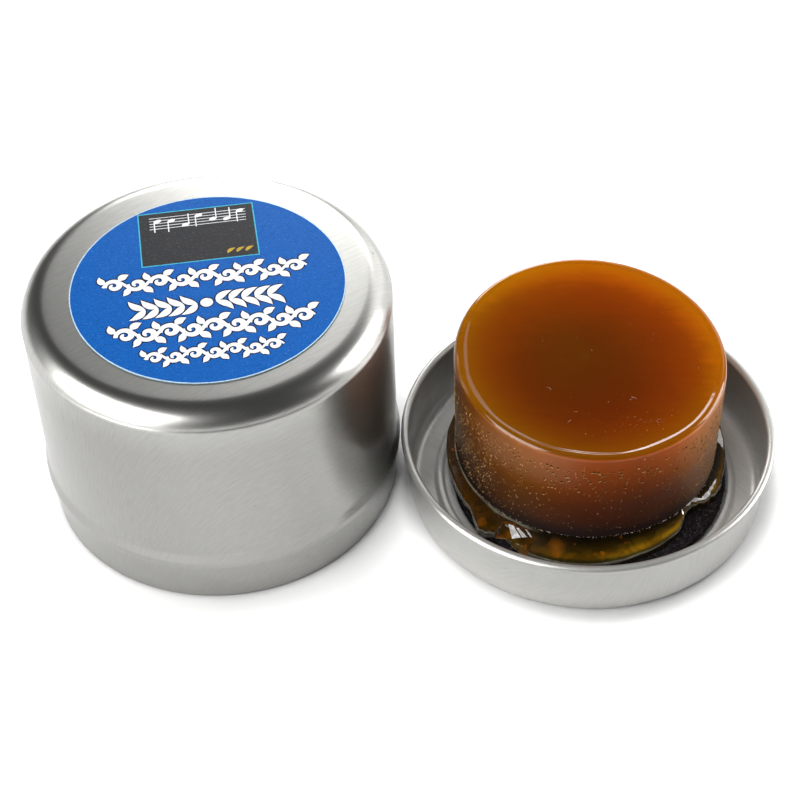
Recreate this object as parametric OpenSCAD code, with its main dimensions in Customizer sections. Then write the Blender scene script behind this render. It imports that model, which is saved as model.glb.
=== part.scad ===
// A cake of bow rosin for double bass, with its round slip-cover tin opened out.
// The deep cover stands mouth down beside the shallow tray that holds the cake.
// Frame: origin at the centre of the tray's underside, +Z up, the cover on the -X side.

/* [Tinplate] */
// Thickness of the sheet
sheet_t = 0.25; // [0.2:0.05:0.35]

/* [Cover] */
// Outside diameter of the wall above the bead
cover_d = 50; // [48:0.1:50.2]
// Height from the mouth to the flat top
cover_h = 35.7; // [30:0.1:45]
// Outside radius of the shoulder
shoulder_r = 3.4; // [2:0.1:5]
// Height of the bead's crest above the mouth
bead_z = 7.3; // [5:0.1:12]
// How far the bead stands proud of the wall
bead_out = 0.4; // [0.2:0.05:0.6]
// Radius of the bead's round section
bead_r = 1.6; // [1.2:0.1:2.5]
// How far the neck below the bead steps in from the wall
neck_in = 0.3; // [0.1:0.05:0.5]
// Radius of the hem rolled inwards round the mouth
hem_r = 0.45; // [0.4:0.05:0.7]
// Place of the cover's axis, across from the tray's axis
cover_x = -51.85; // [-60:0.05:-51.8]
// Place of the cover's axis, away from the front
cover_y = 4.4; // [0:0.1:12]

/* [Label] */
// Diameter of the round paper label
label_d = 37; // [30:0.5:40]
// Thickness of the paper
label_t = 0.12; // [0.08:0.01:0.2]
// How far the label was stuck off centre, to the right
label_dx = 0.36; // [-1:0.02:1]
// How far the label was stuck off centre, to the back
label_dy = -0.36; // [-1:0.02:1]

/* [Tray] */
// Outside diameter of the wall
tray_d = 50.8; // [50:0.1:51.2]
// Height of the tray to the top of its curled rim
tray_h = 10.2; // [8:0.1:14]
// Outside radius of the corner between wall and floor
tray_corner_r = 1.7; // [1:0.1:3]
// Radius of the rim's outward curl
curl_r = 0.6; // [0.5:0.05:0.75]
// Height of the middle panel of the floor above the standing ring
panel_z = 0.45; // [0.3:0.05:0.6]
// Radius, in plan, of the round ridge at the panel's edge
ridge_at = 20.95; // [20.9:0.05:21.5]
// Radius of the ridge's round section
ridge_r = 0.65; // [0.5:0.05:0.75]

/* [Pad] */
// Diameter of the felt pad under the cake
pad_d = 39.2; // [34:0.1:39.6]
// How far the pad lies to the right of the tray's axis
pad_x = 0.45; // [-0.45:0.05:0.45]
// How far the pad lies behind the tray's axis
pad_y = -0.4; // [-0.4:0.05:0.4]
// Thickness of the felt pad
pad_t = 1.5; // [0.8:0.1:2.5]

/* [Rosin] */
// Diameter of the cake at its bottom
cake_bottom_d = 37.4; // [36:0.1:38]
// Diameter of the cake at its top
cake_top_d = 38; // [37:0.1:39]
// Height of the cake at its axis
cake_h = 17; // [12:0.1:22]
// Lean of the cake's poured top, in degrees
top_tilt = 3.9; // [0:0.1:6]
// Direction in which the top rises, in degrees from +X
top_rises_to = 124; // [0:1:359]
// Place of the cake's axis, to the right of the tray's axis
cake_x = 0.24; // [-1:0.02:1]
// Place of the cake's axis, behind the tray's axis
cake_y = 3.34; // [0:0.02:3.4]
// Thickness of the foot of clear rosin under the cake
foot_t = 1.97; // [1:0.01:3]
// Usual radius of the foot
foot_r = 20; // [19:0.1:20.2]
// Thickness of the foot at its outer edge
foot_edge_t = 0.5; // [0.3:0.1:0.9]

/* [Hidden] */
$fn = 96;

cover_r = cover_d / 2;
neck_r = cover_r - neck_in;
bead_centre_r = cover_r + bead_out - bead_r;
tray_r = tray_d / 2;
curl_centre_r = tray_r - sheet_t + curl_r;
curl_z = tray_h - curl_r;
pad_z = panel_z + sheet_t;
foot_z = pad_z + pad_t;
cake_z = foot_z + foot_t;
top_size = 60;
foot_step = 4;

// Lobes (plus) and broken chips (minus) round the foot: direction, half width in degrees, size
foot_lobes = [
    [-100, 42, 2.9],
    [-135, 6, 1.3],
    [-127, 6, -0.8],
    [-43, 9, -1.8],
    [35, 16, -0.5],
    [95, 30, 0.4],
    [150, 18, -0.4]
];

function turn_between(a, b) = abs((a - b + 540) % 360 - 180);
function lobe(a, l) = l[2] * exp(-pow(turn_between(a, l[0]) / l[1], 2));
function total(list, i = 0) = i < len(list) ? list[i] + total(list, i + 1) : 0;
function foot_radius(a) = foot_r + total([for (l = foot_lobes) lobe(a, l)]);
function polar(r, a) = [r * cos(a), r * sin(a)];

// Half section of a solid round block whose upper edge is rounded
module rounded_half(r, h, corner) {
    square([r - corner, h]);
    square([r, h - corner]);
    translate([r - corner, h - corner]) circle(corner);
}

// Section of a curl rolled from the sheet, with its slit on the given side of its axis
module curl_section(r, slit_side) {
    slit = sheet_t / 2;
    difference() {
        circle(r);
        circle(r - sheet_t);
        translate([slit_side * (r - sheet_t) - (slit_side < 0 ? 0 : slit), 0])
            square([slit, 2 * r]);
    }
}

// The bead, as a round bulge of the whole sheet
module bead_disc(r) {
    translate([bead_centre_r, bead_z]) circle(r);
}

module cover_outside() {
    step_z = bead_z - bead_r / 2;
    translate([0, hem_r]) square([neck_r, step_z - hem_r + sheet_t]);
    translate([0, step_z]) rounded_half(cover_r, cover_h - step_z, shoulder_r);
    bead_disc(bead_r);
}

module cover_inside() {
    step_z = bead_z - bead_r / 2;
    square([neck_r - sheet_t, step_z + sheet_t]);
    translate([0, step_z])
        rounded_half(cover_r - sheet_t, cover_h - sheet_t - step_z, shoulder_r - sheet_t);
    bead_disc(bead_r - sheet_t);
}

module tin_cover() {
    color("silver")
        translate([cover_x, cover_y, 0])
            rotate_extrude() {
                difference() {
                    intersection() {
                        cover_outside();
                        square([cover_r + bead_out, cover_h]);
                    }
                    cover_inside();
                }
                translate([neck_r - hem_r, hem_r]) curl_section(hem_r, -1);
            }
}

module cover_label() {
    color("royalblue")
        translate([cover_x + label_dx, cover_y + label_dy, cover_h])
            cylinder(h = label_t, r = label_d / 2);
}

// Floor of the tray: standing ring, round ridge and raised middle panel
module floor_section() {
    ring_w = tray_r - tray_corner_r - ridge_at;
    translate([0, panel_z]) square([ridge_at - ridge_r + sheet_t, sheet_t]);
    translate([ridge_at + ridge_r - sheet_t, 0]) square([ring_w - ridge_r + sheet_t, sheet_t]);
    translate([ridge_at, panel_z])
        difference() {
            circle(ridge_r);
            circle(ridge_r - sheet_t);
            translate([-ridge_r, -ridge_r]) square([2 * ridge_r, ridge_r]);
        }
    translate([ridge_at + ridge_r - sheet_t, 0]) square([sheet_t, panel_z]);
}

// Quarter-round corner from the floor up into the wall
module corner_section() {
    translate([tray_r - tray_corner_r, tray_corner_r])
        difference() {
            circle(tray_corner_r);
            circle(tray_corner_r - sheet_t);
            translate([-tray_corner_r, 0]) square([2 * tray_corner_r, tray_corner_r]);
            translate([-tray_corner_r, -tray_corner_r]) square([tray_corner_r, tray_corner_r]);
        }
}

module tin_tray() {
    color("silver")
        rotate_extrude() {
            floor_section();
            corner_section();
            translate([tray_r - sheet_t, tray_corner_r])
                square([sheet_t, curl_z - tray_corner_r]);
            translate([curl_centre_r, curl_z]) mirror([0, 1]) curl_section(curl_r, -1);
        }
}

module base_pad() {
    color([0.08, 0.08, 0.08])
        translate([pad_x, pad_y, pad_z])
            cylinder(h = pad_t, r = pad_d / 2);
}

// Irregular rim of clear rosin that ran out and set round the bottom of the cake
module rosin_foot() {
    reach = foot_r + 4;
    color([0.55, 0.42, 0.08])
        translate([cake_x, cake_y, foot_z])
            intersection() {
                linear_extrude(foot_t)
                    polygon([for (a = [0:foot_step:359]) polar(foot_radius(a), a)]);
                rotate_extrude()
                    polygon([
                        [0, 0],
                        [reach, 0],
                        [reach, foot_edge_t],
                        [cake_bottom_d / 2, foot_t],
                        [0, foot_t]
                    ]);
            }
}

module rosin_cake() {
    color([0.62, 0.32, 0.06])
        translate([cake_x, cake_y, cake_z])
            difference() {
                cylinder(h = cake_h * 1.3, r1 = cake_bottom_d / 2, r2 = cake_top_d / 2);
                rotate([0, 0, top_rises_to])
                    translate([0, 0, cake_h])
                        rotate([0, -top_tilt, 0])
                            translate([-top_size / 2, -top_size / 2, 0])
                                cube([top_size, top_size, cake_h]);
            }
}

tin_cover();
cover_label();
tin_tray();
base_pad();
rosin_foot();
rosin_cake();
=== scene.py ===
"""Looks of an opened round tin of double bass rosin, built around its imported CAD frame.

The deep tinplate cover stands mouth down beside the shallow tray. The cake of amber rosin, with the
foot of clear rosin that ran out under it, lies on a felt pad in the tray.
Lengths are millimetres in the functions below, and MM turns them into the scene's metres.
"""
import math
import random

import bpy
import numpy
from mathutils import Euler, Matrix, Vector, noise
from mathutils.geometry import delaunay_2d_cdt


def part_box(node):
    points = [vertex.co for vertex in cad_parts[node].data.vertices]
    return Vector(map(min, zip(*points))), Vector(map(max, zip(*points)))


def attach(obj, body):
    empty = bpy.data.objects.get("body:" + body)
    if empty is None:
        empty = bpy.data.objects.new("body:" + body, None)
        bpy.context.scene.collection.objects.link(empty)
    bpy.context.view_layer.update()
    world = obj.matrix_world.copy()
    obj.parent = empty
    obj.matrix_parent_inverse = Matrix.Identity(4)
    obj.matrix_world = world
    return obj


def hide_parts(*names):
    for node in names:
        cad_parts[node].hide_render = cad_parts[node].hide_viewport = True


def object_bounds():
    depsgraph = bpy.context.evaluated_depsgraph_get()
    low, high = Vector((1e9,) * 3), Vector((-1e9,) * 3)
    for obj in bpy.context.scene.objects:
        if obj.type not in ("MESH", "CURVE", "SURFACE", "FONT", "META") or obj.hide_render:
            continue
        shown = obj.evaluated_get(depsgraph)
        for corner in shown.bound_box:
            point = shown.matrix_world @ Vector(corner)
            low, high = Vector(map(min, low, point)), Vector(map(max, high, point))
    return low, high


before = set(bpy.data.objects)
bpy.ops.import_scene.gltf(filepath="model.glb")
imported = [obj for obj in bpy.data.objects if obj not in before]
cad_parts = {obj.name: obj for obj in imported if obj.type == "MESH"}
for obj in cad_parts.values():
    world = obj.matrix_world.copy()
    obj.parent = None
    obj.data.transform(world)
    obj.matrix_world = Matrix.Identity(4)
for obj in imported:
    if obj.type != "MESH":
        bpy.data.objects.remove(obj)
cad_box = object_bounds()

MM = 0.001
SHEET = 0.25

# ---- Places and main sizes, read from the frame ----


def place_of(node):
    """Middle of a node in plan, its lowest and highest z, and half its width, all in mm."""
    low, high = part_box(node)
    middle = (low + high) / 2 / MM
    return Vector((middle.x, middle.y)), low.z / MM, high.z / MM, (high.x - low.x) / 2 / MM


cover_at, _, cover_top, bead_r = place_of("tin_cover")
label_at, label_low, label_top, label_r = place_of("cover_label")
tray_at, _, tray_top, curl_out_r = place_of("tin_tray")
pad_at, pad_low, pad_top, pad_r = place_of("base_pad")
cake_at, cake_low, _, cake_top_r = place_of("rosin_cake")
foot_low = pad_top
CAKE_H = 17.0
UP = Vector((0, 0, 1))

# ---- Small helpers: paths, meshes and nodes ----


def smoothstep(x):
    x = min(1.0, max(0.0, x))
    return x * x * (3 - 2 * x)


def turn_between(a, b):
    """Angle between two directions in degrees, from 0 to 180."""
    return abs((a - b + 540) % 360 - 180)


def bump_at(angle, centre, half_width):
    """1 at centre, falling smoothly to 0 well past half_width, all in degrees."""
    return math.exp(-((turn_between(angle, centre) / half_width) ** 2))


def wander(x, y=0.0, z=0.0):
    """Smooth noise from -1 to 1."""
    return noise.noise(Vector((x, y, z)))


def polar(radius, angle):
    """A point in plan, at an angle in degrees."""
    return Vector((radius * math.cos(math.radians(angle)), radius * math.sin(math.radians(angle))))


def round_noise(angle, scale, seed=0.0):
    """Smooth noise that runs round an axis without a seam, finer with a larger scale."""
    x, y = polar(1.0, angle)
    return wander(x * scale, y * scale, seed)


def arc(centre, radius, start, end, steps):
    """Points (r, z) on a circle, from one angle to another in degrees."""
    points = []
    for i in range(steps + 1):
        p = polar(radius, start + (end - start) * i / steps)
        points.append((centre[0] + p.x, centre[1] + p.y))
    return points


def rounded_path(corners, steps=8):
    """A path through (r, z, fillet radius) corners, each inner corner rounded by its fillet."""
    path = [corners[0][:2]]
    for before, corner, after in zip(corners, corners[1:], corners[2:]):
        here = Vector(corner[:2])
        back = (Vector(before[:2]) - here).normalized()
        ahead = (Vector(after[:2]) - here).normalized()
        half = back.angle(ahead) / 2
        reach = corner[2] / math.tan(half)
        centre = here + (back + ahead).normalized() * corner[2] / math.sin(half)
        first = (here + back * reach - centre).normalized()
        last = (here + ahead * reach - centre).normalized()
        for i in range(steps + 1):
            spoke = first.slerp(last, i / steps) * corner[2]
            path.append(tuple(centre + spoke))
    path.append(corners[-1][:2])
    return path


def resampled(path, spacing):
    """The same path with extra points, so that none are further apart than spacing."""
    fine = [path[0]]
    for a, b in zip(path, path[1:]):
        pieces = max(1, math.ceil((Vector(b) - Vector(a)).length / spacing))
        for i in range(1, pieces + 1):
            fine.append(tuple(Vector(a).lerp(Vector(b), i / pieces)))
    return fine


def offset_path(path, distance):
    """The path moved to its right by distance. Its first point keeps its radius, for the axis."""
    moved = []
    for i, point in enumerate(path):
        before = Vector(path[max(0, i - 1)])
        after = Vector(path[min(len(path) - 1, i + 1)])
        along = (after - before).normalized()
        moved.append((point[0] + along.y * distance, point[1] - along.x * distance))
    moved[0] = (path[0][0], moved[0][1])
    return moved


def new_object(name, data):
    """An object of the scene that shows data."""
    thing = bpy.data.objects.new(name, data)
    bpy.context.scene.collection.objects.link(thing)
    return thing


def add_mesh(name, points, faces, material, body, replaced=(), sharp=40):
    """A smooth shaded piece from points in mm. It rides on body and replaces CAD nodes."""
    mesh = bpy.data.meshes.new(name)
    mesh.from_pydata([Vector(p) * MM for p in points], [], faces)
    mesh.validate()
    mesh.shade_smooth()
    mesh.set_sharp_from_angle(angle=math.radians(sharp))
    mesh.materials.append(material)
    piece = new_object(name, mesh)
    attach(piece, body)
    if replaced:
        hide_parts(*replaced)
    return piece


def next_ring(points, count):
    """The numbers that the next count points will have."""
    return range(len(points), len(points) + count)


def ring_faces(rings, steps):
    """Faces between rings of points that share their numbering. A ring is a list of indices."""
    faces = []
    for low, high in zip(rings, rings[1:]):
        for i in range(steps):
            j = (i + 1) % steps
            corners = [low[i % len(low)], low[j % len(low)], high[j % len(high)], high[i % len(high)]]
            face = list(dict.fromkeys(corners))
            if len(face) > 2:
                faces.append(face)
    return faces


def strip_faces(rows, corners):
    """Faces of a closed strip, from rows that each have as many points as corners."""
    faces = ring_faces([range(corners * i, corners * (i + 1)) for i in range(rows)], corners)
    last = corners * (rows - 1)
    return faces + [list(range(corners))[::-1], [last + i for i in range(corners)]]


def lathe(name, section, centre, material, body, node, brush):
    """A turned sheet-metal piece. section runs from the axis out and, on the other side, back to it.

    The UV map "blank" unrolls each side to the flat round blank that it was drawn from, in mm, with
    U along the brushing, so that the brush marks follow the metal round every bend.
    """
    points, rings, flat = [], [], []
    halfway = len(section) // 2
    lengths = [0.0]
    for a, b in zip(section, section[1:]):
        lengths.append(lengths[-1] + (Vector(b) - Vector(a)).length)
    for i, (radius, z) in enumerate(section):
        unrolled = lengths[i] if i < halfway else lengths[-1] - lengths[i]
        count = 1 if radius < 1e-6 else TURNS
        rings.append(next_ring(points, count))
        for k in range(count):
            angle = 360 * k / TURNS
            p = polar(radius, angle) + centre
            points.append((p.x, p.y, z))
            flat.append(polar(unrolled, angle - brush))
    piece = add_mesh(name, points, ring_faces(rings, TURNS), material, body, [node])
    layer = piece.data.uv_layers.new(name="blank")
    for loop, corner in zip(piece.data.loops, layer.data):
        corner.uv = flat[loop.vertex_index]


class Nodes:
    """A new material with one Principled shader, and short calls to add nodes to it."""

    def __init__(self, name, **values):
        self.material = bpy.data.materials.new(name)
        self.material.use_nodes = True
        self.tree = self.material.node_tree
        self.shader = self.tree.nodes["Principled BSDF"]
        for socket, value in values.items():
            self.shader.inputs[socket.replace("_", " ")].default_value = value

    def add(self, kind, settings=None, **inputs):
        node = self.tree.nodes.new(kind)
        for key, value in (settings or {}).items():
            setattr(node, key, value)
        for socket, value in inputs.items():
            self.feed(node, socket.replace("_", " "), value)
        return node

    def feed(self, node, socket, value):
        numbered = socket[:1] == "i" and socket[1:].isdigit()
        target = node.inputs[int(socket[1:]) if numbered else socket]
        if isinstance(value, bpy.types.NodeSocket):
            self.tree.links.new(value, target)
        else:
            target.default_value = value

    def shade(self, socket, value):
        self.feed(self.shader, socket, value)

    def tint(self, red, share):
        """An amber colour from its red and from its green as a share of red."""
        inputs = {"Red": red, "Green": self.times(red, share), "Blue": 0.0006}
        return self.add("ShaderNodeCombineColor", None, **inputs).outputs[0]

    def math(self, operation, a, b=0.0, clamp=False):
        node = self.add("ShaderNodeMath", {"operation": operation, "use_clamp": clamp}, i0=a, i1=b)
        return node.outputs[0]

    def times(self, a, b):
        return self.math("MULTIPLY", a, b)

    def over(self, a, b):
        return self.math("DIVIDE", a, b)

    def plus(self, a, b):
        return self.math("ADD", a, b)

    def minus(self, a, b):
        return self.math("SUBTRACT", a, b)

    def measure(self, operation, a, b=(0.0, 0.0, 0.0)):
        """A number from vectors: LENGTH, DISTANCE or DOT_PRODUCT."""
        return self.add("ShaderNodeVectorMath", {"operation": operation}, i0=a, i1=b).outputs["Value"]

    def spread(self, value, low, high, to_low=0.0, to_high=1.0):
        """value carried smoothly from low..high to to_low..to_high, and held at both ends."""
        settings = {"interpolation_type": "SMOOTHSTEP"}
        names = {"From_Min": low, "From_Max": high, "To_Min": to_low, "To_Max": to_high}
        return self.add("ShaderNodeMapRange", settings, Value=value, **names).outputs["Result"]

    def ramp(self, value, stops):
        """A colour ramp with (position, colour) stops."""
        node = self.add("ShaderNodeValToRGB", None, Fac=value)
        elements = node.color_ramp.elements
        while len(elements) < len(stops):
            elements.new(1.0)
        for element, (position, colour) in zip(elements, stops):
            element.position = position
            element.color = (*colour, 1.0)
        return node.outputs["Color"]

    def grey_ramp(self, value, stops):
        """A ramp of plain numbers, from (position, number) stops."""
        return self.ramp(value, [(position, (number,) * 3) for position, number in stops])

    def blend(self, factor, a, b):
        """Colours a and b mixed by factor. A colour is a socket or three numbers."""
        node = self.add("ShaderNodeMix", {"data_type": "RGBA"})
        sides = [c if isinstance(c, bpy.types.NodeSocket) else (*c, 1.0) for c in (a, b)]
        for index, value in zip((0, 6, 7), (factor, *sides)):
            self.feed(node, f"i{index}", value)
        return node.outputs[2]

    def noise(self, where, scale, detail=2.0, roughness=0.5, distortion=0.0):
        return self.add(
            "ShaderNodeTexNoise", None, Vector=where, Scale=scale, Detail=detail,
            Roughness=roughness, Distortion=distortion,
        ).outputs["Fac"]

    def stretched(self, where, scale, location=(0, 0, 0)):
        inputs = {"Vector": where, "Scale": scale, "Location": location}
        return self.add("ShaderNodeMapping", None, **inputs).outputs[0]

    def place(self):
        """Place on the piece in the frame's metres."""
        return self.add("ShaderNodeTexCoord").outputs["Object"]

    def bump(self, height, strength, distance):
        node = self.add("ShaderNodeBump", None, Height=height, Strength=strength, Distance=distance)
        self.shade("Normal", node.outputs["Normal"])


# ---- Materials ----

FLAT_R = 24.0
WALL_R = 32.0
TIN_DARK = (0.355, 0.352, 0.335)
TIN_PALE = (0.465, 0.462, 0.442)


def tinplate(name, roughness, metallic, painted_brightness, painted_wall_shade):
    """Bright tinplate with fine straight brushing along U of the flat blank.

    The last two arguments are painted light and shade: how bright the flat middle's colour is
    painted, and the share of that which the drawn wall keeps, so that the wall is painted darker.
    The blank's middle stays flat out to FLAT_R, and past WALL_R it is drawn into the wall.
    """
    n = Nodes(name, Metallic=metallic, Roughness=roughness, Anisotropic=0.3, Anisotropic_Rotation=0.25)
    blank = n.add("ShaderNodeUVMap", {"uv_map": "blank"}).outputs["UV"]
    streaks = n.noise(n.stretched(blank, (0.24, 2.6, 1.0)), 1.0, 4.0, 0.7)
    hairs = n.noise(n.stretched(blank, (0.45, 7.0, 1.0), (3.0, 7.0, 0.0)), 1.0, 2.0, 0.6)
    marks = n.plus(n.times(streaks, 0.6), n.times(hairs, 0.4))
    specks = n.spread(n.noise(blank, 0.9, 0.0), 0.86, 0.90)
    from_middle = n.measure("LENGTH", blank)
    contrast = n.spread(from_middle, FLAT_R, WALL_R - 2.0, 2.8, 1.9)
    strength = n.math("ADD", n.times(n.minus(marks, 0.5), contrast), 0.5, clamp=True)
    grey = n.ramp(strength, [(0.0, TIN_DARK), (1.0, TIN_PALE)])
    # Painted light and shade: the middle's colour brightened per copy, the drawn wall's darkened.
    drawn = n.spread(from_middle, FLAT_R, WALL_R, painted_brightness, painted_brightness * painted_wall_shade)
    grey = n.add("ShaderNodeVectorMath", {"operation": "SCALE"}, i0=grey, Scale=drawn).outputs[0]
    n.shade("Base Color", n.blend(n.times(specks, 0.6), grey, (0.16, 0.15, 0.14)))
    n.shade("Roughness", n.spread(marks, 0.25, 0.75, roughness + 0.03, roughness - 0.03))
    tangent = n.add("ShaderNodeTangent", {"direction_type": "UV_MAP", "uv_map": "blank"})
    n.shade("Tangent", tangent.outputs[0])
    n.bump(marks, 0.30, 0.03 * MM)
    return n.material


def printed_paper():
    """Printed paper of the label. Each face's ink is in the colour attribute "ink"."""
    n = Nodes("printed_paper", Roughness=0.35, Specular_IOR_Level=0.05)
    ink = n.add("ShaderNodeAttribute", {"attribute_name": "ink"}).outputs["Color"]
    where = n.place()
    grain = n.noise(n.stretched(where, (3200, 4600, 3200)), 1.0, 2.0, 0.6, 0.3)
    # The ink turns paler on the raised grain, and darker in the grain's hollows as painted shade.
    paler_on_raised_grain = n.blend(n.spread(grain, 0.60, 0.78, 0.0, 0.10), ink, (0.45, 0.52, 0.66))
    n.shade("Base Color", n.blend(n.spread(grain, 0.30, 0.50, 0.35, 0.0), paler_on_raised_grain, (0.0, 0.006, 0.03)))
    n.shade("Roughness", n.spread(grain, 0.3, 0.7, 0.40, 0.30))
    n.bump(grain, 0.9, 0.022 * MM)
    return n.material


def felt():
    """Coarse black felt, dusty with rosin."""
    n = Nodes("felt", Roughness=1.0, Specular_IOR_Level=0.1)
    where = n.place()
    tufts = n.noise(where, 2600, 3.0, 0.7)
    dust = n.spread(n.noise(where, 3600, 1.0), 0.62, 0.72)
    shades = [(0.0, (0.0015, 0.0015, 0.0015)), (1.0, (0.022, 0.017, 0.019))]
    black = n.ramp(n.spread(tufts, 0.35, 0.8), shades)
    n.shade("Base Color", n.blend(n.times(dust, 0.35), black, (0.13, 0.10, 0.10)))
    n.bump(tufts, 0.9, 0.12 * MM)
    return n.material


# How much the lamps brighten a matt colour on the cake's top and on its side.
TOP_LIGHT = 1.4
SIDE_LIGHT = 0.66
DARK_AT = (-1.9, -3.7, 0.0)
SIDE_FACES = (0.139, -0.990, 0.0)
# Directions in which the painted sheen on the cake's side is strongest.
PAINTED_SHEEN_AT = (-123, -31)
TOP_ROUGHNESS = 0.06


def amber_rosin():
    """The cake, with painted light: dark amber amid its glossy top, ochre to the rim, brown sides."""
    n = Nodes("amber_rosin", IOR=1.53, Specular_IOR_Level=0.27)
    centred = n.stretched(n.place(), (1000, 1000, 1000), (-cake_at.x, -cake_at.y, 0.0))
    parts = n.add("ShaderNodeSeparateXYZ", None, Vector=centred).outputs
    flat = n.add("ShaderNodeCombineXYZ", None, X=parts["X"], Y=parts["Y"]).outputs[0]
    radius = n.measure("LENGTH", flat)
    cloud = n.minus(n.noise(centred, 0.12, 2.0, 0.5, 0.6), 0.5)
    wisps = n.minus(n.noise(n.stretched(centred, (0.10, 0.40, 0.3)), 1.0, 4.0, 0.6, 2.2), 0.5)

    # Painted light: the top is painted dark in the middle and lighter out to the rim, as light
    # comes through the rosin. The dark middle is off centre, because light comes in through the
    # back and the right.
    away = n.measure("DISTANCE", flat, DARK_AT)
    away = n.plus(away, n.plus(n.times(cloud, 2.6), n.times(wisps, 3.2)))
    red = n.grey_ramp(n.over(away, 22.0), [
        (0.00, 0.104), (0.23, 0.114), (0.36, 0.128), (0.50, 0.165), (0.59, 0.195),
        (0.68, 0.225), (0.77, 0.262), (0.86, 0.370), (0.95, 0.456),
    ])
    share = n.grey_ramp(n.over(radius, 20.0), [
        (0.00, 0.215), (0.30, 0.178), (0.50, 0.152), (0.65, 0.158), (0.75, 0.185),
        (0.83, 0.235), (0.91, 0.275),
    ])
    sideways = n.over(parts["X"], radius)
    share = n.times(share, n.spread(sideways, -0.8, 0.2, 1.2, 1.0))
    top = n.tint(n.over(red, TOP_LIGHT), share)

    # The side is brown in its upper half, and painted darker down to nearly black at the seam with
    # the foot, as painted shade.
    height = n.over(n.minus(parts["Z"], cake_low), CAKE_H)
    height = n.plus(height, n.times(cloud, 0.10))
    turned = n.minus(1.0, n.over(n.measure("DOT_PRODUCT", flat, SIDE_FACES), radius))
    red = n.grey_ramp(height, [
        (0.00, 0.006), (0.08, 0.020), (0.14, 0.046), (0.25, 0.082), (0.43, 0.122),
        (0.60, 0.158), (0.72, 0.188), (0.85, 0.225), (0.98, 0.240),
    ])
    # Painted light: the side is painted much brighter towards its right end and darker at its far left,
    # after how the lamps light it.
    ends = n.grey_ramp(n.times(n.plus(sideways, 1.0), 0.5), [
        (0.007, 0.14), (0.043, 0.20), (0.105, 0.31), (0.20, 0.40), (0.30, 0.43), (0.41, 0.38),
        (0.53, 0.36), (0.65, 0.38), (0.765, 0.56), (0.86, 0.84), (0.935, 1.00), (1.00, 1.00),
    ])
    red = n.times(red, n.times(ends, 2.5))
    side = n.tint(n.over(red, SIDE_LIGHT), n.spread(turned, 0.0, 0.28, 0.175, 0.275))
    # Painted reflection: a pale mauve haze over the right of the side.
    side = n.blend(n.spread(sideways, 0.55, 1.0, 0.0, 0.50), side, (0.42, 0.25, 0.16))

    # A painted sheen below the rim, strongest at the front left and the front right, standing in
    # for the haze that the lamps leave on the side.
    lobes = []
    for angle in PAINTED_SHEEN_AT:
        towards = n.measure("DOT_PRODUCT", flat, (*polar(1, angle), 0))
        lobes.append(n.spread(n.over(towards, radius), 0.86, 0.99))
    band = n.times(n.spread(height, 0.50, 0.72), n.spread(height, 0.86, 1.0, 1.0, 0.25))
    painted_sheen = n.plus(n.times(n.plus(*lobes), 0.22), 0.02)
    side = n.blend(n.times(band, painted_sheen), side, (0.36, 0.22, 0.15))
    up = n.add("ShaderNodeSeparateXYZ", None, Vector=n.add("ShaderNodeNewGeometry").outputs["Normal"])
    on_side = n.spread(up.outputs["Z"], 0.25, 0.75, 1.0, 0.0)
    n.shade("Base Color", n.blend(on_side, top, side))
    dull = n.spread(height, 0.05, 0.40, 0.65, 0.28)
    extra = n.times(on_side, n.minus(dull, TOP_ROUGHNESS))
    n.shade("Roughness", n.plus(extra, TOP_ROUGHNESS))
    n.bump(n.noise(centred, 0.35, 2.0), 0.12, 0.3 * MM)
    return n.material


def clear_rosin():
    """The foot: glassy rosin. Its olive and amber painted light and shade are in colour attribute
    "depth".
    """
    n = Nodes(
        "clear_rosin", IOR=1.53, Roughness=0.05, Transmission_Weight=0.12, Specular_IOR_Level=0.25,
    )
    where = n.place()
    depth = n.add("ShaderNodeAttribute", {"attribute_name": "depth"}).outputs["Color"]
    streaks = n.noise(n.stretched(where, (260, 260, 600)), 1.0, 3.0, 0.6, 1.4)
    flakes = n.noise(where, 520, 2.0, 0.5, 0.4)
    streaked = n.blend(n.spread(streaks, 0.40, 0.62, 0.55, 0.0), depth, (0.012, 0.007, 0.001))
    flaked = n.spread(flakes, 0.66, 0.74, 0.0, 0.5)
    n.shade("Base Color", n.blend(flaked, streaked, (0.40, 0.11, 0.002)))
    n.bump(n.noise(where, 420, 2.0), 0.12, 0.2 * MM)
    return n.material


def plain(name, colour, spots, roughness=0.7, specular=0.1, spot_scale=900):
    """A simple finish whose colour wanders to spots, for crumbs, bubbles and fibres."""
    n = Nodes(name, Roughness=roughness, Specular_IOR_Level=specular)
    pattern = n.spread(n.noise(n.place(), spot_scale, 2.0), 0.4, 0.65)
    n.shade("Base Color", n.blend(pattern, colour, spots))
    return n.material


# Painted light: the tray's copy of the tinplate has its colour painted brighter than the cover's.
cover_tin = tinplate("cover_tinplate", 0.30, 1.0, 0.98, 0.80)
tray_tin = tinplate("tray_tinplate", 0.36, 0.66, 1.22, 0.78)
paper = printed_paper()
felt_cloth = felt()
amber = amber_rosin()
clear = clear_rosin()
bubble_dark = plain("bubble_dark", (0.070, 0.020, 0.002), (0.13, 0.045, 0.006))
bubble_dot = plain("bubble_dot", (0.30, 0.13, 0.030), (0.48, 0.24, 0.07))
bubble_glint = plain("bubble_glint", (0.50, 0.25, 0.06), (0.85, 0.52, 0.20))
# Pale as powdery broken rosin, and brighter still as a painted reflection of the lamps.
chip_and_glare = plain("chip_and_glare", (0.46, 0.44, 0.44), (0.82, 0.80, 0.80), 0.12, 0.5, 1400)
crumb_dust = plain("crumb_dust", (0.42, 0.27, 0.17), (0.70, 0.58, 0.50), 0.5, 0.5)

# ---- Cover and tray: turned tinplate ----

BEAD_OUT = 0.4
NECK_IN = 0.3
HEM_R = 0.45
SHOULDER_R = 3.4
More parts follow.
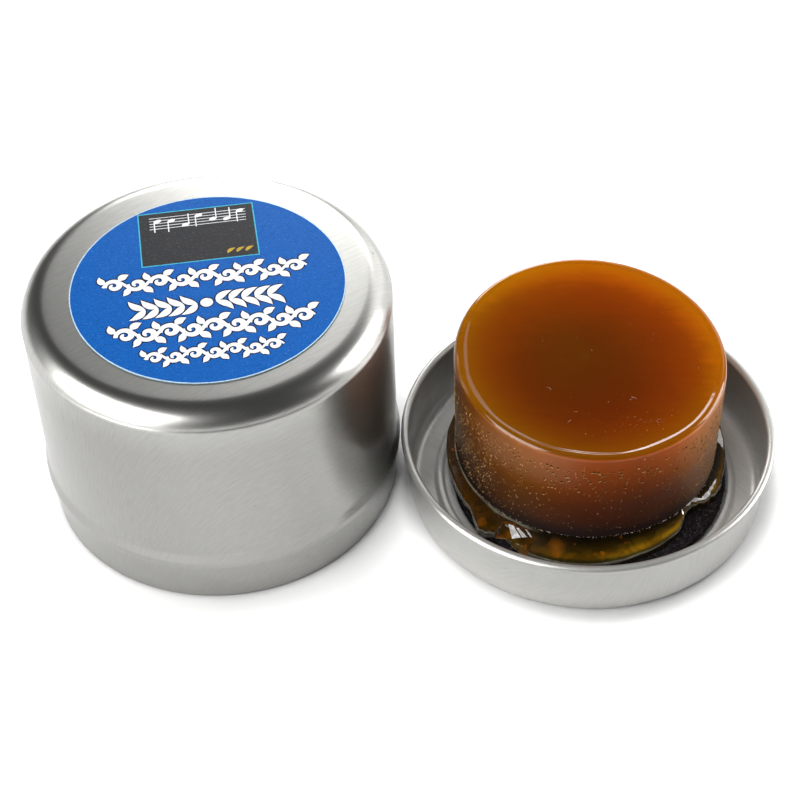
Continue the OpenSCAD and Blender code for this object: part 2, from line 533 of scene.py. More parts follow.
# Angle above the horizontal at which the shoulder's round breaks into the wall.
SHOULDER_END = 14
TURNS = 288
PATH_STEP = 0.6


def both_sides(path, thickness):
    """The closed section of a sheet whose one side is path and whose other side is to its right."""
    fine = resampled(path, PATH_STEP)
    return fine + offset_path(fine, thickness)[::-1]


def build_cover():
    """The deep cover, mouth down: a flat top, a round shoulder, a bead and a rolled hem."""
    wall_r = bead_r - BEAD_OUT
    neck_r = wall_r - NECK_IN
    shoulder = (wall_r - SHOULDER_R, cover_top - SHOULDER_R)
    path = [(0.0, cover_top)]
    path += arc(shoulder, SHOULDER_R, 90, SHOULDER_END, 20)
    path.append((wall_r, path[-1][1] - 0.15))
    path += rounded_path([
        (wall_r, 12.0), (wall_r, 9.2, 3.0), (bead_r, 7.75, 0.45), (bead_r, 6.8, 0.18),
        (neck_r, 6.1, 0.25), (neck_r, HEM_R + 0.4),
    ])
    path += arc((neck_r - HEM_R, HEM_R), HEM_R, 0, -215, 22)
    lathe("cover_shell", both_sides(path, SHEET), cover_at, cover_tin, "cover", "tin_cover", brush=35)


CURL_R = 0.6
CORNER_R = 1.45
RIDGE_AT = 20.95
RIDGE_TOP = 1.08


def build_tray():
    """The shallow tray: a raised panel with a ridge round it, a wall and an outward curl."""
    curl_at = curl_out_r - CURL_R
    inner_wall = curl_at - CURL_R
    path = rounded_path([
        (0.0, pad_low), (RIDGE_AT - 0.75, pad_low, 0.25), (RIDGE_AT - 0.35, RIDGE_TOP, 0.3),
        (RIDGE_AT + 0.30, RIDGE_TOP, 0.3), (RIDGE_AT + 0.72, SHEET, 0.3),
        (inner_wall, SHEET, CORNER_R), (inner_wall, tray_top - CURL_R),
    ])
    path += arc((curl_at, tray_top - CURL_R), CURL_R, 180, -95, 26)
    lathe("tray_shell", both_sides(path, SHEET), tray_at, tray_tin, "tray", "tin_tray", brush=-52)


build_cover()
build_tray()

# ---- Label: one sheet cut into inked areas ----

INKS = {
    "paper": (0.42, 0.58, 0.70),
    "blue": (0.001, 0.080, 0.33),
    "black": (0.025, 0.025, 0.026),
    "white": (0.74, 0.74, 0.76),
    "shadow": (0.006, 0.010, 0.030),
    "line": (0.05, 0.38, 0.50),
    "gold": (0.40, 0.27, 0.03),
}
PRINT_TURN = 7.0
PANEL = (-8.4, 5.2, 7.35, 16.0)
LINE_HALF = 0.05
HALO = 0.21
BERRY_AT = Vector((-0.4, -3.3))
BERRY_R = 0.85


def stroke(points, widths):
    """Quads along a drawn line whose half widths change from point to point."""
    sides = []
    for i, p in enumerate(points):
        along = (points[min(i + 1, len(points) - 1)] - points[max(i - 1, 0)]).normalized()
        across = Vector((-along.y, along.x)) * widths[i]
        sides.append((p + across, p - across))
    return [[a[1], b[1], b[0], a[0]] for a, b in zip(sides, sides[1:])]


def inks_at(spots, layers):
    """The ink of each spot: that of the last layer whose outline goes round it."""
    x, y = spots.T
    found = numpy.zeros(len(spots), dtype=int)
    for number, (ink, outline) in enumerate(layers):
        inside = numpy.zeros(len(spots), dtype=bool)
        for a, b in zip(outline, outline[1:] + outline[:1]):
            if a.y != b.y:
                crossed = (a.y > y) != (b.y > y)
                inside ^= crossed & (x < a.x + (b.x - a.x) * (y - a.y) / (b.y - a.y))
        found[inside] = number
    return [layers[number][0] for number in found]


def tendril(centre, radius, start, turns, thick):
    """A spiral that winds in to a round end."""
    steps = max(10, int(abs(turns) / 14))
    points, widths = [], []
    for i in range(steps + 1):
        t = i / steps
        points.append(centre + polar(radius * (1 - 0.78 * t), start + turns * t))
        widths.append(thick * (0.35 + 0.75 * math.sin(math.pi * min(1.0, 0.15 + 0.85 * t))))
    return points, widths


def leaf(tip, root, fat):
    """A pointed leaf from root to tip."""
    steps = 9
    points = [root.lerp(tip, i / steps) for i in range(steps + 1)]
    bend = Vector((root.y - tip.y, tip.x - root.x)) * 0.12
    points = [p + bend * math.sin(math.pi * i / steps) for i, p in enumerate(points)]
    widths = [0.02 + fat * math.sin(math.pi * (i / steps) ** 0.8) for i in range(steps + 1)]
    return points, widths


def vine(left, right, middle, height, waves, thick):
    """Strokes of a running vine: a wavy stem with a tendril and two leaves at each bend."""
    found = []
    width = right - left
    count = waves * 12
    stem = []
    for i in range(count + 1):
        x = left + width * i / count
        stem.append(Vector((x, middle + 0.30 * height * math.sin(2 * math.pi * waves * i / count / 2))))
    widths = [thick * (0.45 + 0.35 * math.sin(math.pi * i / count)) for i in range(count + 1)]
    found.append((stem, widths))
    for k in range(waves):
        side = 1 if k % 2 == 0 else -1
        crest = Vector((left + width * (k + 0.5) / waves, middle + side * 0.02 * height))
        found.append(tendril(crest, 0.30 * height, 90 * side + 100 * side, -430 * side, thick))
        for x, y, out, up, fat in ((0.20, 0.26, 0.34, 0.26, 1.5), (-0.30, 0.16, -0.18, 0.38, 1.3)):
            root = Vector((crest.x + x * height, middle + side * y * height))
            found.append(leaf(root + Vector((out, up * side)) * height, root, thick * fat))
    return found


def laurel(left, right, middle, height):
    """Strokes of a bold row of leaf pairs that run out from its middle, where a berry goes."""
    found = []
    pairs = 5
    pitch = (right - left) / 2 / (pairs + 0.75)
    for side in (-1, 1):
        for k in range(pairs):
            root = Vector(((left + right) / 2 + side * pitch * (k + 0.75), middle))
            for up in (-1, 1):
                tip = root + Vector((side * pitch * 1.25, up * 0.5 * height))
                found.append(leaf(tip, root, 0.52))
    return found


def box(x0, y0, x1, y1):
    """Corners of an upright rectangle."""
    return [Vector((x0, y0)), Vector((x1, y0)), Vector((x1, y1)), Vector((x0, y1))]


def music(left, right, low, high):
    """Quads of five ruled lines with round notes on them, for the black panel."""
    quads = []
    gap = (high - low) / 4
    for k in range(5):
        y = low + gap * k
        quads.append(box(left, y - LINE_HALF, right, y + LINE_HALF))
    count = 7
    for k in range(count):
        x = left + (right - left) * (k + 0.6) / count
        y = low + gap * (2 + 1.6 * math.sin(2.3 * k + 0.5))
        head = []
        for i in range(16):
            a = math.tau * i / 16
            wide = 0.52 * math.cos(a)
            head.append(Vector((x, y)) + Vector((wide, 0.36 * math.sin(a) + 0.12 * math.cos(a))))
        quads.append(head)
        up = 1 if y < low + 2 * gap else -1
        quads.append(box(x + 0.40 * up, y, x + 0.55 * up, y + up * 2.3))
    return quads


def build_label():
    """The label: areas of ink are laid over each other, and one sheet is cut along all their edges."""
    layers = []
    for name, radius in (("paper", label_r), ("blue", label_r - 0.15)):
        layers.append((name, [polar(radius, 2 * i) for i in range(180)]))
    x0, y0, x1, y1 = PANEL
    for name, grow in (("line", 0.16), ("black", 0.0)):
        layers.append((name, box(x0 - grow, y0 - grow, x1 + grow, y1 + grow)))
    layers += [("white", q) for q in music(x0 + 1.4, x1 - 1.0, 12.7, 15.0)]
    for k in range(3):
        root = Vector((3.2 + 1.25 * k, 6.1))
        layers += [("gold", quad) for quad in stroke(*leaf(root + Vector((1.1, 0.9)), root, 0.26))]
    drawn = vine(-14.0, 13.5, 1.9, 3.9, 9, 0.36)
    drawn += laurel(-10.3, 9.5, -3.3, 3.7)
    drawn += vine(-12.9, 13.5, -8.0, 4.2, 9, 0.38)
    drawn += vine(-9.2, 8.9, -12.8, 3.3, 7, 0.30)
    for name, extra in (("shadow", HALO), ("white", 0.0)):
        for points, widths in drawn:
            layers += [(name, quad) for quad in stroke(points, [w + extra for w in widths])]
        layers.append((name, [BERRY_AT + polar(BERRY_R + extra, 15 * i) for i in range(24)]))
    turned = Matrix.Rotation(math.radians(PRINT_TURN), 2)
    layers = [(name, [turned @ p for p in outline]) for name, outline in layers]
    flat, edges = [], []
    for name, outline in layers:
        first, count = len(flat), len(outline)
        edges += [(first + i, first + (i + 1) % count) for i in range(count)]
        flat += outline
    top_points, _, faces, *_ = delaunay_2d_cdt(flat, edges, [], 1, 1e-4)
    spots = numpy.array([sum((top_points[i] for i in f), Vector((0, 0))) / len(f) for f in faces])
    inks = inks_at(spots, layers)
    points = [(label_at.x + p.x, label_at.y + p.y, label_top) for p in top_points]
    rim = [i for i, p in enumerate(top_points) if p.length > label_r - 0.001]
    rim.sort(key=lambda i: math.atan2(top_points[i].y, top_points[i].x))
    below = list(range(len(points), len(points) + len(rim)))
    points += [(points[i][0], points[i][1], label_low) for i in rim]
    for i in range(len(rim)):
        j = (i + 1) % len(rim)
        faces.append([rim[i], below[i], below[j], rim[j]])
    faces.append(below[::-1])
    inks += ["paper"] * (len(rim) + 1)
    label = add_mesh("label", points, faces, paper, "cover", ["cover_label"], sharp=20)
    ink = label.data.color_attributes.new("ink", "FLOAT_COLOR", "CORNER")
    for face, name in zip(label.data.polygons, inks):
        for corner in face.loop_indices:
            ink.data[corner].color = (*INKS[name], 1.0)


build_label()

# ---- Felt pad ----

rng = random.Random(11)
PAD_FIBRES = 2600


def build_pad():
    """A felt disc with a tufted top and a soft ragged edge, and loose fibres along that edge."""
    steps = 360
    radii = [0.0, 6.0, 12.0, 15.0] + [15.0 + 0.25 * k for k in range(1, 18)]
    middle_z = (pad_low + pad_top) / 2
    points, rings = [], []

    def ring(radius, z, rough):
        rings.append(next_ring(points, steps if radius else 1))
        for k in rings[-1]:
            angle = 360 * (k - rings[-1][0]) / steps
            p = polar(radius, angle)
            tuft = wander(p.x * 3.1, p.y * 3.1, z * 2.0) + 0.6 * wander(p.x * 7.0, p.y * 7.0, z * 5.0)
            ragged = 1 + rough * 0.006 * wander(p.x * 4.0, p.y * 4.0, 9.0 + z)
            high = z - rough * 0.09 * (1 + tuft)
            points.append((pad_at.x + p.x * ragged, pad_at.y + p.y * ragged, high))

    for radius in radii:
        ring(radius, pad_top - 0.02, 0.0 if radius < 14 else 0.8)
    for depth, out in ((0.12, 0.18), (0.35, 0.24), (0.6, 0.26), (0.9, 0.24), (1.2, 0.18)):
        ring(pad_r - 0.28 + out, pad_top - depth, 1.0 if depth < 1 else 0.4)
    ring(pad_r - 0.28, pad_low, 0.0)
    ring(0.0, pad_low, 0.0)
    faces = ring_faces(rings, steps)

    for _ in range(PAD_FIBRES):
        angle = rng.uniform(0, 360)
        radius = rng.uniform(16.5, 19.75)
        base = Vector((*(polar(radius, angle) + pad_at), rng.uniform(pad_top - 0.30, pad_top - 0.08)))
        if radius > 19.5:
            base.z = rng.uniform(middle_z - 0.4, pad_top - 0.1)
        heading = Vector((rng.uniform(-1, 1), rng.uniform(-1, 1), rng.uniform(-0.1, 0.25)))
        bend = Vector((rng.uniform(-1, 1), rng.uniform(-1, 1), 0)) * 0.25
        first = len(points)
        across = heading.cross(UP).normalized() * 0.025
        size = rng.uniform(0.25, 0.6)
        for t in (0.0, 0.5, 1.0):
            p = base + heading * size * t + bend * size * t * t
            p.z = min(p.z, pad_top - 0.01)
            points += [p + across, p - across, p + UP * 0.03]
        faces += [[first + i for i in side] for side in strip_faces(3, 3)]
    add_mesh("felt_pad", points, faces, felt_cloth, "tray", ["base_pad"])


build_pad()

# ---- Rosin cake ----

TOP_TILT = 3.9
TOP_RISES_TO = 124
BOTTOM_R = 18.7
CAKE_STEPS = 480


def on_cake(x, y, z):
    """A point that is given from the cake's axis."""
    return Vector((cake_at.x + x, cake_at.y + y, z))


def top_level(x, y):
    """z of the poured top, at x, y from the cake's axis."""
    rise = x * math.cos(math.radians(TOP_RISES_TO)) + y * math.sin(math.radians(TOP_RISES_TO))
    return cake_low + CAKE_H + rise * math.tan(math.radians(TOP_TILT))


def rim_shape(angle):
    """How wide the rim's rounding is, how wide its lip is and how high it stands, at a direction."""
    rounding = 0.72 + 0.55 * bump_at(angle, 172, 17) + 0.12 * round_noise(angle, 2.1, 3.0)
    lip = 0.62 + 0.28 * round_noise(angle, 3.3, 8.0) + 0.45 * bump_at(angle, -165, 22)
    height = 0.17 + 0.05 * round_noise(angle, 2.6, 5.0)
    return rounding, max(0.35, lip), height


def cake_point(angle, part, t):
    """A point of the cake's skin: part is "top", "lip", "round" or "wall", and t runs along it."""
    rounding, lip, height = rim_shape(angle)
    turn = polar(1.0, angle)
    edge = cake_top_r * (1 + 0.0012 * round_noise(angle, 4, 1.0))
    crest = edge - rounding
    if part == "top":
        radius = t * (crest - lip)
        p = turn * radius
        ripple = 0.02 * wander(p.x * 0.16, p.y * 0.16, 2.0)
        return p.x, p.y, top_level(p.x, p.y) + ripple * (1 - t ** 4)
    if part == "lip":
        radius = crest - lip * (1 - t)
        p = turn * radius
        return p.x, p.y, top_level(p.x, p.y) + height * smoothstep(t)
    if part == "round":
        around = t * math.pi / 2
        radius = crest + rounding * math.sin(around)
        base = turn * crest
        z = top_level(base.x, base.y) + height - rounding * (1 - math.cos(around))
        return turn.x * radius, turn.y * radius, z
    base = turn * crest
    high = top_level(base.x, base.y) + height - rounding
    z = high + (cake_low - high) * t
    slack = 0.035 * round_noise(angle, 5, z * 0.35) * math.sin(math.pi * t)
    radius = edge + (BOTTOM_R - edge) * t + slack
    return turn.x * radius, turn.y * radius, z


def build_cake():
    """The cast cake, with its poured top, raised lip, rounded rim and tapered wall."""
    points, rings = [], []
    rows = [("top", 0)]
    for part, count in (("top", 22), ("lip", 12), ("round", 12), ("wall", 40)):
        rows += [(part, k / count) for k in range(1, count + 1)]
    for part, t in rows:
        count = CAKE_STEPS if t else 1
        rings.append(next_ring(points, count))
        for k in range(count):
            points.append(on_cake(*cake_point(360 * k / CAKE_STEPS, part, t)))
    rings.append(next_ring(points, 1))
    points.append(on_cake(0, 0, cake_low))
    faces = ring_faces(rings, CAKE_STEPS)
    add_mesh("cake", points, faces, amber, "cake", ["rosin_cake"])


build_cake()

# ---- Clear foot under the cake ----

FOOT_R = 20.0
LEVEL_ROWS = 22
BEVEL_ROWS = 3
FOOT_BEVEL = 0.18
FOOT_T = cake_low - foot_low
# Direction, half width and size of each lobe or bite of the outline.
FOOT_LOBES = [
    (-100, 42, 2.9), (-135, 6, 1.3), (-127, 6, -0.8), (-45, 8, -1.7), (-30, 12, 0.45),
    (35, 16, -0.5), (95, 30, 0.4), (150, 18, -0.4),
]
# The bright breaks at the front left lie in one sloping plane, which cuts the foot's top. It goes
# through FACET_TOP, a radius, a direction and a height above the pad. FACETS are their corners in
# plan, from the cake's axis.
FACET_AT = -122.5
FACET_HALF_WIDTH = 7.5
FACET_FACES = -124
FACET_SLOPE = 1.15
FACET_TOP = (19.9, -125.0, 1.75)
FACETS = [
    [(-12.05, -15.75), (-11.45, -16.05), (-10.45, -17.60), (-11.60, -17.35)],
    [(-10.98, -16.45), (-10.75, -16.55), (-9.55, -17.85), (-10.25, -17.68)],
    [(-9.80, -17.00), (-9.65, -17.08), (-8.95, -18.05), (-9.12, -18.02)],
]
STRIPE_FROM, STRIPE_TO = -46.0, -24.0
STRIPE_R = 19.8
STRIPE_HALF = 0.36
# Where along the stripe it narrows, and how wide each neck is.
STRIPE_NECKS = ((0.36, 0.05), (0.74, 0.04))
# Colours of the foot's depth: its seam and dark colours are painted shade, golden is painted light
# shining through the rim, edge is a painted highlight, and orange is the rosin's own.
FOOT_INKS = {
    "seam": (0.008, 0.005, 0.001),
    "dark": (0.030, 0.017, 0.002),
    "olive": (0.075, 0.042, 0.002),
    "golden": (0.205, 0.100, 0.004),
    "green": (0.060, 0.045, 0.005),
    "edge": (0.300, 0.280, 0.200),
    "brown": (0.036, 0.013, 0.0005),
    "orange": (0.200, 0.060, 0.001),
}


def foot_edge(angle):
    """Radius of the foot's broken outline."""
    radius = FOOT_R + sum(size * bump_at(angle, at, width) for at, width, size in FOOT_LOBES)
    chipped = bump_at(angle, -132, 16) + bump_at(angle, -36, 18)
    return radius + 0.10 * round_noise(angle, 9, 4.0) + 0.28 * chipped * round_noise(angle, 26)


def foot_radius(angle, row):
    """Radius at a row of the top: under the cake, then level to the bevel, then down the bevel."""
    start = BOTTOM_R - 0.4
    crease = foot_edge(angle) - FOOT_BEVEL
    if row <= LEVEL_ROWS:
        return start + (crease - start) * row / LEVEL_ROWS
    return crease + FOOT_BEVEL * (row - LEVEL_ROWS) / BEVEL_ROWS


def foot_height(angle, radius):
    """Height of the foot's top above the pad."""
    p = polar(radius, angle)
    edge = foot_edge(angle)
    s = max(0.0, (radius - BOTTOM_R) / (edge - BOTTOM_R))
    fall = 0.42 - 0.38 * bump_at(angle, -12, 24)
    swell = 0.05 * wander(p.x * 0.5, p.y * 0.5, 2.0) * math.sin(math.pi * s)
    height = FOOT_T - 0.08 - fall * s + swell
    height -= 0.92 * max(0.0, FOOT_BEVEL - (edge - radius))
    if turn_between(angle, FACET_AT) < FACET_HALF_WIDTH:
        out, at, top = FACET_TOP
        down = (p - polar(out, at)).dot(polar(1.0, FACET_FACES))
        height = min(height, top - FACET_SLOPE * down)
    return max(0.25, height)


DEPTHS = [
    (0.00, "seam"), (0.16, "seam"), (0.34, "dark"), (0.58, "olive"),
    (0.74, "golden"), (0.86, "golden"), (0.94, "green"), (1.00, "green"),
]


def foot_colour(angle, s):
    """Painted light and shade seen in the depth of the foot: dark at the seam, a golden band further
    out.
    """
    for (low, ink), (high, next_ink) in zip(DEPTHS, DEPTHS[1:]):
        if s <= high:
            colour = Vector(FOOT_INKS[ink]).lerp(Vector(FOOT_INKS[next_ink]), (s - low) / (high - low))
            break
    # Painted light: brighter towards the front right, darker away from it.
    colour = colour * (0.45 + 0.65 * smoothstep(1.7 - turn_between(angle, -50) / 28))
    left = smoothstep((turn_between(angle, -60) - 50) / 30)
    colour = colour.lerp(Vector(FOOT_INKS["brown"]), 0.9 * left * smoothstep(s / 0.2))
    turn = polar(1.0, angle)
    patch = smoothstep((wander(turn.x * 14 + s, turn.y * 14, s * 2.5) - 0.02) / 0.2)
    patch *= 0.8 * bump_at(angle, -128, 13) + 0.8 * bump_at(angle, -106, 2.6)
    colour = colour.lerp(Vector(FOOT_INKS["orange"]), min(1.0, 0.8 * patch) * smoothstep(s / 0.4))
    # A painted highlight: a pale line along the crease near the cake, all round but the front.
    line = smoothstep((turn_between(angle, -60) - 52) / 12) * bump_at(100 * s, 7, 5)
    return colour.lerp(Vector(FOOT_INKS["edge"]), 0.7 * line)


def build_foot():
    """The disc of clear rosin that ran out under the cake, with the painted light and shade of its
    depth.
    """
    steps = 1080
    points = [on_cake(0, 0, cake_low - 0.04)]
    rings = [range(0, 1)]
    colours = [Vector(FOOT_INKS["seam"])]
    for row in range(LEVEL_ROWS + BEVEL_ROWS + 1):
        rings.append(next_ring(points, steps))
        for k in range(steps):
            angle = 360 * k / steps
            radius = foot_radius(angle, row)
            p = polar(radius, angle)
            points.append(on_cake(p.x, p.y, foot_low + foot_height(angle, radius)))
            s = (radius - BOTTOM_R) / (foot_edge(angle) - BOTTOM_R)
            colours.append(foot_colour(angle, min(1.0, max(0.0, s))))
    # The outline: a painted highlight along its top, dark below it.
    for drop, out in ((0.08, 0.03), (0.35, 0.05), (0.75, 0.04), (1.0, 0.0)):
        rings.append(next_ring(points, steps))
        for k in range(steps):
            angle = 360 * k / steps
            edge = foot_edge(angle)
            p = polar(edge + out, angle)
            points.append(on_cake(p.x, p.y, foot_low + foot_height(angle, edge) * (1 - drop)))
            colours.append(Vector(FOOT_INKS["edge" if drop < 0.1 else "dark"]))
    rings.append(next_ring(points, 1))
    points.append(on_cake(0, 0, foot_low))
    colours.append(Vector(FOOT_INKS["seam"]))
    faces = ring_faces(rings, steps)
    foot = add_mesh("foot", points, faces, clear, "cake", ["rosin_foot"], sharp=26)
    depth = foot.data.color_attributes.new("depth", "FLOAT_COLOR", "POINT")
    for colour, item in zip(colours, depth.data):
        item.color = (*colour, 1.0)


def build_facets():
    """Three bright flat breaks on the front left of the foot, each a thin slab let into it."""
    out, at, top = FACET_TOP
    start = polar(out, at)
    facing = polar(1.0, FACET_FACES)
    outward = Vector((facing.x * FACET_SLOPE, facing.y * FACET_SLOPE, 1.0)).normalized()
    points, faces = [], []
    for outline in FACETS:
        first, count = len(points), len(outline)
        for depth in (0.20, -0.05):
            for x, y in outline:
                z = foot_low + top - FACET_SLOPE * (Vector((x, y)) - start).dot(facing)
                points.append(on_cake(x, y, z) - outward * depth)
        faces += [[first + i for i in side] for side in strip_faces(2, count)]
    # Their pale colour is partly powdery broken rosin, partly a painted reflection of the lamps.
    add_mesh("foot_facets", points, faces, chip_and_glare, "cake", sharp=20)


def build_stripe():
    """The narrow bright break along the front right of the foot, in three uneven lengths."""
    points = []
    steps = 42
    for i in range(steps + 1):
        t = i / steps
        angle = STRIPE_FROM + (STRIPE_TO - STRIPE_FROM) * t
        edge = foot_edge(angle)
        taper = math.sin(math.pi * min(1.0, 0.06 + t)) ** 0.6
        half = STRIPE_HALF * taper * (0.75 + 0.5 * wander(t * 9, 3.0))
        necked = 1.0
        for at, width in STRIPE_NECKS:
            necked *= smoothstep(abs(t - at) / width)
        half *= 0.45 + 0.55 * necked
        middle = min(STRIPE_R, edge - 0.34) + 0.10 * wander(t * 7, 1.0)
        for out, rise in ((-half, 0.05), (half, 0.09), (half, -0.2), (-half, -0.2)):
            p = polar(middle + out, angle)
            level = foot_height(angle, min(middle + out, edge - FOOT_BEVEL))
            points.append(on_cake(p.x, p.y, foot_low + level + rise))
    faces = strip_faces(steps + 1, 4)
    # Its pale colour is partly powdery broken rosin, partly a painted reflection of the lamps.
    add_mesh("foot_stripe", points, faces, chip_and_glare, "cake", sharp=20)


build_foot()
build_facets()
build_stripe()

# ---- Bubbles, crumbs and fibres ----

BUBBLES = 560
SOFT_DOTS = 900
SPECK_TRIES = 12000
SPECKS_CROWD = ((-152, 17), (-24, 22), (90, 80))
# Direction, radius and size of the golden glints on the foot beside the narrow bright break.
FOOT_GLINTS = ((-25.8, 19.0, 0.20), (-30.5, 18.95, 0.16), (-21.5, 19.3, 0.12))
SEAM_DOTS = 260
CRUMBS = 130
FIBRES = 6


def grain(centre, size, squash=1.0):
    """An eight-sided grain with uneven corners."""
    corners = []
    for axis in (Vector((1, 0, 0)), Vector((0, 1, 0)), Vector((0, 0, squash))):
        for way in (1, -1):
            corners.append(centre + way * axis * size * rng.uniform(0.7, 1.2))
    sides = [(0, 2, 4), (2, 1, 4), (1, 3, 4), (3, 0, 4), (2, 0, 5), (1, 2, 5), (3, 1, 5), (0, 3, 5)]
    return corners, sides


def dimple(centre, outward, size):
    """The dark mouth of a bubble, painted shade: a shallow dome that sits in the wall."""
    side = outward.cross(UP).normalized()
    around = 12
    corners = [centre + outward * 0.02]
    for i in range(around):
        a = math.tau * i / around
        spoke = side * math.cos(a) + UP * math.sin(a)
        corners.append(centre + spoke * size * rng.uniform(0.9, 1.1) + outward * 0.006)
    sides = [(0, 1 + i, 1 + (i + 1) % around) for i in range(around)]
    corners.append(centre - outward * size * 0.4)
    sides += [(around + 1, 1 + (i + 1) % around, 1 + i) for i in range(around)]
    return corners, sides


def gathered(name, shapes, material):
    """One piece from many small shapes, riding on the cake."""
    points, faces = [], []
    for corners, sides in shapes:
        first = len(points)
        points += corners
        faces += [[first + i for i in side] for side in sides]
    add_mesh(name, points, faces, material, "cake")


def on_wall(angle, z):
    """Point on the cake's wall and the direction out of it."""
    high = cake_point(angle, "wall", 0.0)[2]
    t = min(1.0, max(0.0, (z - high) / (cake_low - high)))
    p = cake_point(angle, "wall", t)
    return on_cake(*p), polar(1.0, angle).to_3d()


def glint(centre, outward, size):
    """A short bright arc of painted highlight on the lower right of a bubble's rim."""
    side = outward.cross(UP).normalized()
    corners = []
    for i in range(7):
        a = math.radians(-150 + 150 * i / 6)
        spoke = UP * math.sin(a) - side * math.cos(a)
        wide = size * 0.26 * math.sin(math.pi * (i + 0.4) / 6.8)
        corners.append(centre + spoke * (size - wide) + outward * 0.015)
        corners.append(centre + spoke * (size + wide) + outward * 0.015)
        corners.append(centre + spoke * size + outward * (0.02 + wide * 0.5))
    return corners, [side[::-1] for side in strip_faces(7, 3)]


def build_bubbles():
    """Bubbles of painted shade and highlight in the side's skin, and golden specks crowding its two
    ends.
    """
    dots, hollows, glints = [], [], []
    for _ in range(BUBBLES):
        angle = rng.uniform(0, 360)
        z = top_level(*polar(cake_top_r, angle)) - 2.2 - abs(rng.gauss(0, 2.8))
        if z < cake_low + 3.5 or rng.random() < 0.7 * bump_at(angle, -150, 16):
            continue
        size = 0.09 + 0.13 * rng.random() ** 1.5
        p, out = on_wall(angle, z)
        hollows.append(dimple(p, out, size))
        glints.append(glint(p + out * 0.01, out, size * 0.9))
    for _ in range(SOFT_DOTS):
        angle = rng.uniform(0, 360)
        size = rng.uniform(0.03, 0.07)
        p, out = on_wall(angle, rng.uniform(cake_low + 1.0, 15.5))
        dots.append(grain(p - out * size * 0.4, size))
    for _ in range(SPECK_TRIES):
        angle = rng.uniform(0, 360)
        if rng.random() > 0.10 + 0.9 * max(bump_at(angle, *crowd) for crowd in SPECKS_CROWD):
            continue
        p, out = on_wall(angle, rng.uniform(cake_low + 1.0, 19.0))
        glints.append(grain(p, 0.03 + 0.07 * rng.random() ** 2))
    for angle, radius, size in FOOT_GLINTS:
        p = polar(radius, angle)
        glints.append(grain(on_cake(p.x, p.y, cake_low - 0.28), size))
    gathered("bubble_dots", dots, bubble_dot)
    gathered("bubble_hollows", hollows, bubble_dark)
    gathered("bubble_glints", glints, bubble_glint)


def fibre(start, heading, size, bend, thick):
    """A thin curved hair lying on the cake's top."""
    corners = []
    steps = 8
    for i in range(steps + 1):
        t = i / steps
        p = start + polar(size * t, heading + bend * t)
        z = top_level(p.x, p.y)
        across = polar(thick, heading + bend * t + 90)
        for offset, lift in ((across, 0.0), (-across, 0.0), (across * 0, 1.6 * thick)):
            corners.append(on_cake(p.x + offset.x, p.y + offset.y, z + lift + 0.005))
    return corners, strip_faces(steps + 1, 3)


def build_seam():
    """Bright dots where the cake meets the foot."""
    shapes = []
    for _ in range(SEAM_DOTS):
        angle = rng.uniform(-150, -30) if rng.random() < 0.8 else rng.uniform(0, 360)
        p, out = on_wall(angle, cake_low + rng.uniform(0.0, 0.30))
        shapes.append(grain(p + out * rng.uniform(0.02, 0.25), rng.uniform(0.025, 0.075)))
    gathered("seam_dots", shapes, crumb_dust)


def build_crumbs():
    """Crumbs over the whole top, a crowd of them near its front edge, and a few hairs."""
    shapes = []
    for k in range(CRUMBS):
        if k < 70:
            p = polar(16.5 * math.sqrt(rng.random()), rng.uniform(0, 360))
        else:
            p = polar(13.6, -66) + Vector((rng.gauss(0, 3.6), rng.gauss(0, 1.4)))
        if p.length > 16.2:
            continue
        size = rng.uniform(0.02, 0.05) * rng.uniform(0.6, 1.1)
        shapes.append(grain(on_cake(p.x, p.y, top_level(p.x, p.y) + size * 0.5), size, 0.7))
    for _ in range(FIBRES):
        p = polar(rng.uniform(7, 15.0), rng.uniform(-150, -20))
        heading, size, bend = rng.uniform(0, 360), rng.uniform(0.4, 0.9), rng.uniform(-160, 160)
        shapes.append(fibre(p, heading, size, bend, 0.013))
    gathered("crumbs", shapes, crumb_dust)


build_bubbles()
build_seam()
build_crumbs()

# ---- Floor, lights and camera ----

FLOOR_HALF = 1.6
AIM_SHIFT = Vector((-0.88, -2.77, 0.0))
VIEW_DISTANCE = 275.6
VIEW_DOWN = 45.57
VIEW_ROLL = -1.92
VIEW_LENS = 89.72
# Name, azimuth, elevation, distance, width, height, radiance and, for one, roll of each light.
MIRRORED = (
    ("left_box", -120.5, 26, 0.60, 0.55, 0.56, 10.0),
    ("right_box", 78.5, 19, 0.60, 0.31, 0.39, 10.0),
    ("back_strip", -1, 21.5, 0.80, 0.36, 0.37, 8.6, 24),
    ("back_panel", 34, 20, 0.80, 0.45, 0.66, 1.6),
)
FILLS = (
    ("overhead", -45, 85, 0.90, 0.32, 0.32, 17.8),
    ("front_fill", -138, 50, 0.90, 0.6, 0.6, 3.2),
    ("right_fill", 55, 30, 0.90, 0.5, 0.5, 4.4),
)

aim = (cad_box[0] + cad_box[1]) / 2 + AIM_SHIFT * MM


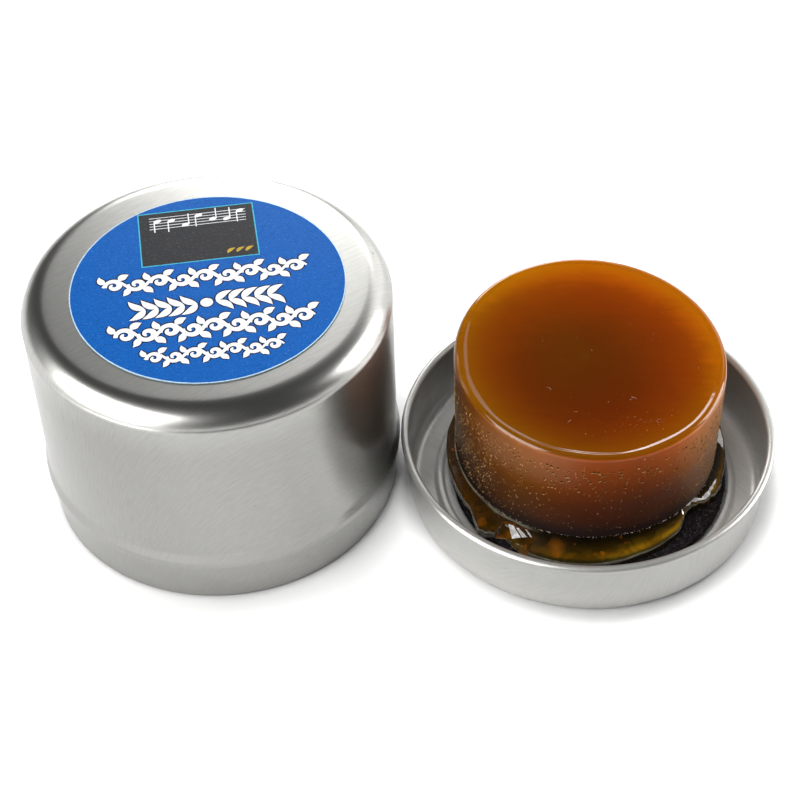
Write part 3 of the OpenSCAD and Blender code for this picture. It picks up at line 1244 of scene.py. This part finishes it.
def build_floor():
    """The white paper that everything stands on."""
    n = Nodes("floor_paper", Roughness=0.9, Specular_IOR_Level=0.1)
    fleck = n.noise(n.place(), 40.0, 2.0)
    n.shade("Base Color", n.blend(fleck, (0.90, 0.90, 0.90), (0.92, 0.92, 0.92)))
    mesh = bpy.data.meshes.new("floor")
    corners = [(*p, 0) for p in box(-FLOOR_HALF, -FLOOR_HALF, FLOOR_HALF, FLOOR_HALF)]
    mesh.from_pydata(corners, [], [[0, 1, 2, 3]])
    mesh.materials.append(n.material)
    new_object("floor", mesh)


def direction(azimuth, elevation):
    """Unit vector: azimuth 0 is the back, 90 the right."""
    a, e = math.radians(azimuth), math.radians(elevation)
    return Vector((math.sin(a) * math.cos(e), math.cos(a) * math.cos(e), math.sin(e)))


def soft_light(name, azimuth, elevation, distance, width, height, radiance, roll=0.0):
    """A rectangular soft light of even radiance that faces the object."""
    light = bpy.data.lights.new(name, "AREA")
    light.shape = "RECTANGLE"
    light.size = width
    light.size_y = height
    light.energy = radiance * 4 * width * height
    lamp = new_object(name, light)
    out = direction(azimuth, elevation)
    turn = out.to_track_quat("Z", "Y").to_matrix() @ Matrix.Rotation(math.radians(roll), 3, "Z")
    lamp.matrix_world = Matrix.Translation(aim + out * distance) @ turn.to_4x4()
    lamp.visible_camera = False
    return lamp


def build_lights():
    """Bright boxes that only the tin and the rosin mirror, and fills that only light matt colours."""
    for box_light in MIRRORED:
        soft_light(*box_light).visible_diffuse = False
    for fill in FILLS:
        soft_light(*fill).visible_glossy = False
    world = bpy.data.worlds.new("studio")
    world.use_nodes = True
    world.node_tree.nodes["Background"].inputs["Color"].default_value = (0.05, 0.05, 0.05, 1)
    bpy.context.scene.world = world


def build_camera():
    """The photo's view."""
    camera = bpy.data.cameras.new("camera")
    camera.lens = VIEW_LENS
    camera.sensor_width = 36
    body = new_object("camera", camera)
    down = math.radians(VIEW_DOWN)
    level = Euler((math.radians(90 - VIEW_DOWN), 0, 0)).to_matrix()
    turn = level @ Matrix.Rotation(math.radians(VIEW_ROLL), 3, "Z")
    back = Vector((0, -math.cos(down), math.sin(down)))
    body.matrix_world = Matrix.Translation(aim + back * VIEW_DISTANCE * MM) @ turn.to_4x4()
    bpy.context.scene.camera = body


build_floor()
build_lights()
build_camera()
bpy.context.scene.view_settings.view_transform = "Standard"
